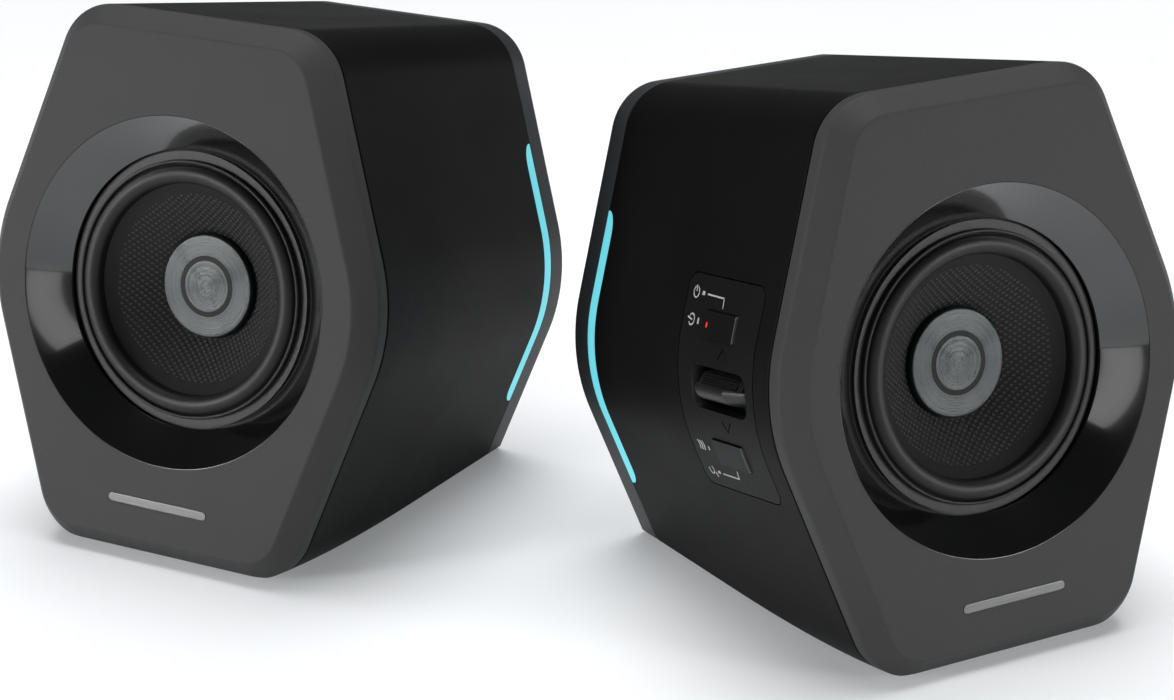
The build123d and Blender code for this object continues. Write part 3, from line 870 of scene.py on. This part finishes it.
def pan_screws(points):
    """Pan-head screws with a cross recess, one at each point, heads towards the back."""
    tree = Pattern("pan_screws")
    radius = tree.size("Head Radius", 2.6)
    height = tree.size("Head Height", 1.05)
    recess = tree.size("Recess Width", 0.55)
    quarter = math.pi / 2
    head = tree.node("MeshCone", {
        "Vertices": 32, "Side Segments": 3, "Fill Segments": 1, "Radius Bottom": radius,
        "Radius Top": radius * 0.78, "Depth": height,
    })
    across = tree.node("MeshCube", {"Size": tree.vector(radius * 1.15, recess, height)})
    upright = tree.node("MeshCube", {"Size": tree.vector(recess, radius * 1.15, height)})
    cross = tree.node("JoinGeometry")
    for bar in (across, upright):
        tree.tree.links.new(bar.socket, cross.socket.node.inputs[0])
    raised = tree.node("Transform", {"Geometry": cross, "Translation": tree.vector(0, 0, height * 1.5)})
    driven = tree.node("MeshBoolean", {"Mesh 1": head}, operation="DIFFERENCE")
    tree.tree.links.new(raised.socket, driven.socket.node.inputs["Mesh 2"])
    turned_back = tree.node("Transform", {"Geometry": driven, "Rotation": (-quarter, 0, 0)})
    heads = tree.node("InstanceOnPoints", {"Points": tree.places(), "Instance": turned_back})
    return tree.grow(heads, black_screw, points)


for side in SIDES:
    heads = pan_screws([(x, SCREW_SEAT, height) for x, height in SCREW_PLACES])
    screws = settle(heads, "pan_screws", side, black_screw, sharp=25)
    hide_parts(f"{side}_cover_screws")

# Sockets
# Moulded black sockets stand on the boards, and their noses come through the cover. Each has a plated
# sleeve in its bore, and the power socket has a centre pin.
jack_plastic = moulding("jack_plastic", 14, 26, 0.28, 0.5, 0.1)
dress(["left_link_jack", "right_aux_jack", "right_link_jack", "right_power_jack"], jack_plastic)


def sleeve(x, radius):
    """Plated tube with a rolled lip, lining a socket's bore."""
    profile = [(radius - 0.05, 90.0), (radius - 0.05, JACK_TIP - 0.1), (radius + 0.3, JACK_TIP - 0.02)]
    profile += [(radius + 0.3, JACK_TIP + 0.06), (radius - 0.1, JACK_TIP + 0.06)]
    profile += [(radius - 0.3, JACK_TIP - 0.2), (radius - 0.3, 90.0)]
    mesh = turned(profile, 64)
    bmesh.ops.translate(mesh, verts=mesh.verts, vec=(x, 0, JACK_HEIGHT - DRIVER_HEIGHT))
    return mesh


for side in SIDES:
    for socket, (x, radius) in SOCKETS[side].items():
        lining = settle(sleeve(x, radius), f"{socket}_sleeve", side, plated_steel)
contact = pin(12.0, JACK_HEIGHT, 92, 101.5, 0.95, 32)
centre_pin = settle(contact, "power_pin", "right", plated_steel, bevel=0.2)

# Feet
# Four soft rubber discs glued under each cabinet, with a rounded rim and a shallow hollow below.
FOOT_RADIUS = 5.0
FOOT_PLACES = ((-22, 18), (22, 18), (-26, 88), (26, 88))
foot_rubber = moulding("foot_rubber", 14, 28, 0.7, 0.3, 0.4)


def feet(side):
    """Four discs on the table under one speaker, in one piece."""
    profile = [(0, FOOT_HEIGHT), (FOOT_RADIUS, FOOT_HEIGHT), (FOOT_RADIUS, 0.4), (4.85, 0.12), (4.5, 0.0)]
    profile += [(3.6, 0.0), (3.4, 0.2), (0, 0.25)]
    across = (stand[side].to_3x3() @ Vector((1, 0, 0))).normalized()
    back = Vector((-across.y, across.x, 0))
    corner = stand[side].translation
    whole = bmesh.new()
    for x, y in FOOT_PLACES:
        spot = Vector((corner.x, corner.y, 0)) + (across * x + back * y) * MILLIMETRE
        disc = turned(profile, 48)
        lower = Matrix.Translation((0, 0, -DRIVER_HEIGHT))
        turn = Matrix(((1, 0, 0), (0, 0, 1), (0, 1, 0))).to_4x4() @ lower
        place = Matrix.Translation(spot) @ Matrix.Scale(MILLIMETRE, 4)
        disc.transform(stand[side].inverted() @ place @ turn)
        loose = bpy.data.meshes.new("disc")
        disc.to_mesh(loose)
        disc.free()
        whole.from_mesh(loose)
        bpy.data.meshes.remove(loose)
    piece = settle(whole, "foot_discs", side, foot_rubber)
    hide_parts(f"{side}_feet")


for side in SIDES:
    feet(side)

# Control panel
# A panel of the cabinet's plastic, flush in the left wall of the right-hand speaker, with a thin dark joint
# round it. It has two key holes, a scooped well, and a moulded arrow above and below the well.
KEYS = {"power_button": ((25.6, 39.1), (77.9, 83.7)), "mode_button": ((25.0, 38.4), (48.5, 54.7))}
WELL_DEPTHS = (20.2, 42.0)
WELL_HEIGHTS = (62.0, 71.5)
LAMP_PLACE = (37.9, 80.7)
PANEL_REACH = (12.0, 60.0)
panel_plastic = moulding("panel_plastic", 10, 18, 0.4, 0.3, 0.25, gloss=0.14)


def stroke(path, width):
    """Outline of a line of one width along points (depth, height)."""
    path = [Vector(point) for point in path]
    left, right = [], []
    for i, point in enumerate(path):
        before = (point - path[i - 1]).normalized() if i else (path[1] - point).normalized()
        after = (path[i + 1] - point).normalized() if i + 1 < len(path) else before
        normal = Vector((-(before + after).y, (before + after).x)).normalized()
        spread = width / 2 / max(normal.dot(Vector((-after.y, after.x))), 0.5)
        left.append(tuple(point + normal * spread))
        right.append(tuple(point - normal * spread))
    return left + right[::-1]


def well_scoop():
    """Tool for the well: wide at the panel's face and narrower inside."""
    steps = ((60.0, 2.4), (54.6, 2.0), (53.9, 1.7), (53.0, 0.8), (52.2, 0.25), (51.2, 0.0), (48.0, 0.0))
    rings = []
    for x, reach in steps:
        near, far = WELL_DEPTHS
        outline = rounded((near - reach * 0.3, far + reach), WELL_HEIGHTS, 2.4, reach * 0.2)
        rings.append([(-x, depth, height) for depth, height in outline])
    return skin(rings, ends="filled")


def control_panel():
    """The panel, with everything cut through or into it."""
    mesh = wall_patch(rounded(PANEL_DEPTHS, PANEL_HEIGHTS, 3.0, -0.1), -1, 0.0, WALL, PANEL_REACH)
    for limits in KEYS.values():
        mesh = carve(mesh, side_bar(rounded(*limits, 0.4, 0.25), -1))
    mesh = carve(mesh, well_scoop())
    for tip, foot in ((76.2, 73.8), (57.6, 60.0)):
        arrow = stroke([(27.6, foot), (29.6, tip), (31.6, foot)], 0.4)
        mesh = carve(mesh, wall_patch(arrow, -1, -0.5, 0.3, PANEL_REACH))
    piece = settle(mesh, "panel", "right", panel_plastic, bevel=0.12)
    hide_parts("right_control_panel")


control_panel()

# Keys and lamp
# Two push keys stand a little proud of the panel, with softened edges. The red standby lamp shows through a
# small window in the upper one.
KEY_RISE = 0.45
LAMP_RADII = (0.45, 0.65)


def key_finish(name, near):
    """The panel's plastic, painted paler along the key's front edge as a painted highlight for the glint of
    light on its bevel.
    """
    plastic = Finish(f"{name}_plastic")
    spot = plastic.spot("right")
    _, depth, _ = plastic.parts(spot)
    fine = plastic.noise(spot, 0.3)
    patches = plastic.noise(spot, 12.0)
    # painted highlight: a pale band along the key's front edge, standing in for the glint of light on its
    # bevel
    painted_glint = 1 - depth.above(near + 0.25, 0.1)
    ground = plastic.blend(patches * 0.6 + fine * 0.4, shade(10), shade(18))
    return plastic.surface(
        Base_Color=plastic.blend(painted_glint, ground, shade(85)),
        Roughness=0.36 + 0.14 * patches,
        Specular_IOR_Level=0.14,
        Normal=plastic.relief(fine, 0.2, 0.1),
    )


def lamp_outline(gap=0.0):
    """Points (depth, height) round the lamp, grown by a gap."""
    angles = np.linspace(0, 2 * math.pi, 24, endpoint=False)
    wide, high = LAMP_RADII[0] + gap, LAMP_RADII[1] + gap
    return [(LAMP_PLACE[0] + wide * math.cos(a), LAMP_PLACE[1] + high * math.sin(a)) for a in angles]


for name, limits in KEYS.items():
    key = wall_patch(rounded(*limits, 0.4), -1, -KEY_RISE, WALL, PANEL_REACH)
    if name == "power_button":
        key = carve(key, side_bar(lamp_outline(0.15), -1))
    finish = key_finish(name, limits[0][0])
    piece = settle(key, f"{name}_key", "right", finish, body=name, bevel=0.3)
    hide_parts(f"right_{name}")
lens = Finish("red_lamp")
heat = lens.noise(lens.spot(), 0.5)
red_lamp = lens.surface(
    Base_Color=lens.blend(heat, (0.3, 0.01, 0.004), (0.4, 0.02, 0.008)),
    Roughness=0.2 + 0.1 * heat,
    Emission_Color=lens.blend(heat, (1.0, 0.02, 0.006), (1.0, 0.05, 0.015)),
    Emission_Strength=1.0,
)
glass = wall_patch(lamp_outline(), -1, -0.3, WALL, PANEL_REACH)
lamp = settle(glass, "lamp", "right", red_lamp, bevel=0.08)
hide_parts("right_status_lamp")

# Printed marks
# Pale marks printed on the panel beside the keys: rings, dots, bars and lines that lead to each key.
ink = Finish("printed_marks")
wear = ink.noise(ink.spot(), 0.35)
printed_ink = ink.surface(
    Base_Color=ink.blend(wear, shade(135), shade(170)),
    Roughness=0.6 + 0.1 * wear,
    Normal=ink.relief(wear, 0.1, 0.02),
)
LINE = 0.36


def circle_path(depth, height, radius, start=0, end=360, steps=20):
    """Points round part of a circle, with angles in degrees from the height axis."""
    angles = [math.radians(start + (end - start) * step / steps) for step in range(steps + 1)]
    return [(depth + radius * math.sin(a), height + radius * math.cos(a)) for a in angles]


marks = [(circle_path(45.4, 86.9, 1.2, 25, 335), LINE), ([(45.4, 87.0), (45.4, 88.4)], LINE)]
marks += [([(42.8, 86.95), (41.6, 86.95)], 0.9), ([(40.4, 86.9), (33.0, 86.8), (32.7, 84.6)], LINE)]
marks += [(circle_path(45.3, 81.0, 1.2, 120, 420), LINE), ([(45.0, 80.9), (47.2, 81.4)], LINE)]
marks += [([(42.3, 80.3), (42.3, 81.6)], 0.6), ([(41.9, 51.2), (41.9, 52.2)], 0.6)]
marks += [([(46.2 - i, 53.2), (45.7 - i, 52.1), (46.1 - i, 50.9)], 0.42) for i in range(3)]
marks += [(circle_path(45.0, 45.9, 1.0, 60, 330), LINE), ([(43.5, 45.4), (43.0, 44.3)], 0.5)]
marks += [([(42.3, 45.7), (41.2, 45.7)], 0.7), ([(40.0, 45.6), (32.8, 45.6), (32.4, 47.6)], LINE)]
print_layer = bmesh.new()
for path, width in marks:
    loose = bpy.data.meshes.new("mark")
    mark = wall_patch(stroke(path, width), -1, -0.02, 0.25, PANEL_REACH)
    mark.to_mesh(loose)
    mark.free()
    print_layer.from_mesh(loose)
    bpy.data.meshes.remove(loose)
printed = settle(print_layer, "printed_marks", "right", printed_ink)

# Volume rocker
# A bar on a steel pin in the well. Its upper face is scooped and ribbed for the thumb. Its lower face swells
# out to a ridge, and is cut back towards the front end.
ROCKER_DEPTHS = (22.4, 40.4)
ROCKER_ENDS = ((0.0, 0.86), (0.12, 0.93), (0.4, 0.98), (0.8, 1.0))
NOTCH = 6.0
NOTCH_SLOPE = 0.4
RIDGE = (
    (-47.1, 63.5), (-50.5, 63.4), (-52.6, 63.8), (-53.7, 64.7), (-54.3, 65.9), (-54.45, 66.8), (-54.1, 67.35),
    (-53.4, 67.6), (-52.8, 68.1), (-52.3, 68.9), (-51.6, 69.7), (-50.4, 70.05), (-47.1, 70.05),
)
rocker_plastic = moulding("rocker_plastic", 20, 30, 0.34, 0.25, 0.15, gloss=0.4)
grip_rubber = moulding("rocker_grip", 5, 10, 0.6, 0.3, 0.3, gloss=0.15)


def rocker_bar():
    """The bar: one section swept back, with its ends drawn in and rounded."""
    near, far = ROCKER_DEPTHS
    middle = np.mean(RIDGE, axis=0)
    stations = [(near + step, scale) for step, scale in ROCKER_ENDS]
    stations += [(far - step, scale) for step, scale in reversed(ROCKER_ENDS)]
    stations[len(ROCKER_ENDS):len(ROCKER_ENDS)] = [(near + NOTCH - 0.2, 1.0), (near + NOTCH, 1.0)]
    rings = []
    for depth, scale in stations:
        places = middle + (np.array(RIDGE) - middle) * scale
        inward = max(0.0, near + NOTCH - 0.1 - depth) * NOTCH_SLOPE
        rings.append([(x + inward * (height < 67.4) * (x < -51.0), depth, height) for x, height in places])
    return skin(rings, ends="filled")


def grip_ribs():
    """Half-round ribs along the scooped face, one at each point."""
    tree = Pattern("grip_ribs")
    length = tree.size("Rib Length", 14.6)
    radius = tree.size("Rib Radius", 0.2)
    rib = tree.node("MeshCylinder", {"Vertices": 12, "Radius": radius, "Depth": length})
    along = tree.node("Transform", {"Geometry": rib, "Rotation": (math.pi / 2, 0, 0)})
    middle = sum(ROCKER_DEPTHS) / 2
    rows = np.linspace((-53.45, 67.7), (-51.75, 69.65), 5)
    ribs = tree.node("InstanceOnPoints", {"Points": tree.places(), "Instance": along})
    return tree.grow(ribs, grip_rubber, [(x, middle, height) for x, height in rows])


bar = settle(rocker_bar(), "rocker_bar", "right", rocker_plastic, body="volume_rocker", sharp=50)
grip = settle(grip_ribs(), "rocker_grip", "right", grip_rubber, body="volume_rocker", sharp=50)
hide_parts("right_volume_rocker")
dress(["right_rocker_pin"], plated_steel)

# Amplifier
# Two boards, a finned heat sink and the screws that hold them, inside the right-hand speaker.
dress(["right_control_board", "right_main_board"], circuit_board)
dress(["right_heat_sink"], plating("heat_sink_metal", 120, 165, (1.0, 1.0, 1.03), 0.9, 0.35, 0.8, 0.15))
dress(["right_board_screws"], plated_steel)

# Table and light
# A pale seamless table under one broad overhead light. A narrow light on each side reaches the faces, and
# two tall boxes in front show in the horns. The table glows a little, so that it stays near white.
table_mesh = bmesh.new()
bmesh.ops.create_grid(table_mesh, x_segments=1, y_segments=1, size=3.0)
table = bpy.data.objects.new("table", bpy.data.meshes.new("table"))
bpy.context.scene.collection.objects.link(table)
table_mesh.to_mesh(table.data)
table_mesh.free()
paper = Finish("table_top")
cloud = paper.noise(paper.spot(), 160.0)
table.data.materials.append(paper.surface(
    Base_Color=paper.blend(cloud, (0.8, 0.81, 0.83), (0.83, 0.84, 0.855)),
    Roughness=0.6 + 0.1 * cloud,
    Specular_IOR_Level=0.2,
    Emission_Color=paper.blend(cloud, (0.93, 0.965, 1.0), (0.95, 0.98, 1.0)),
    Emission_Strength=0.2,
))

LIGHTS = (
    ("left_key", (-1.0, -0.36, 0.22), (-0.2, 0.0, 0.06), (0.5, 0.5), 0.66, 30),
    ("right_key", (1.0, -0.4, 0.22), (0.22, -0.04, 0.06), (0.5, 0.5), 0.48, 30),
    ("left_front", (-0.35, -2.2, 0.75), (0.0, 0.0, 0.06), (0.3, 1.5), 2.6, 180),
    ("right_front", (0.45, -2.2, 0.75), (0.0, 0.0, 0.06), (0.3, 1.5), 2.4, 180),
)


def hang(name, data, place, aim):
    """Put a light in the scene, pointing at a place."""
    light = bpy.data.objects.new(name, data)
    bpy.context.scene.collection.objects.link(light)
    light.location = place
    light.rotation_euler = (Vector(aim) - Vector(place)).to_track_quat("-Z", "Y").to_euler()


for name, place, aim, size, power, spread in LIGHTS:
    panel_light = bpy.data.lights.new(name, "AREA")
    panel_light.shape = "RECTANGLE"
    panel_light.size, panel_light.size_y = size
    panel_light.energy = power
    panel_light.spread = math.radians(spread)
    hang(name, panel_light, place, aim)
overhead = bpy.data.lights.new("overhead", "SUN")
overhead.energy = 2.9
overhead.angle = math.radians(52)
hang("overhead", overhead, (0.0, 0.5, 1.6), (0.0, 0.0, 0.0))

world = bpy.data.worlds.new("room")
bpy.context.scene.world = world
world.use_nodes = True
room = world.node_tree.nodes["Background"]
room.inputs["Color"].default_value = (0.9, 0.95, 1.0, 1)
room.inputs["Strength"].default_value = 0.04
bpy.context.scene.view_settings.view_transform = "Standard"
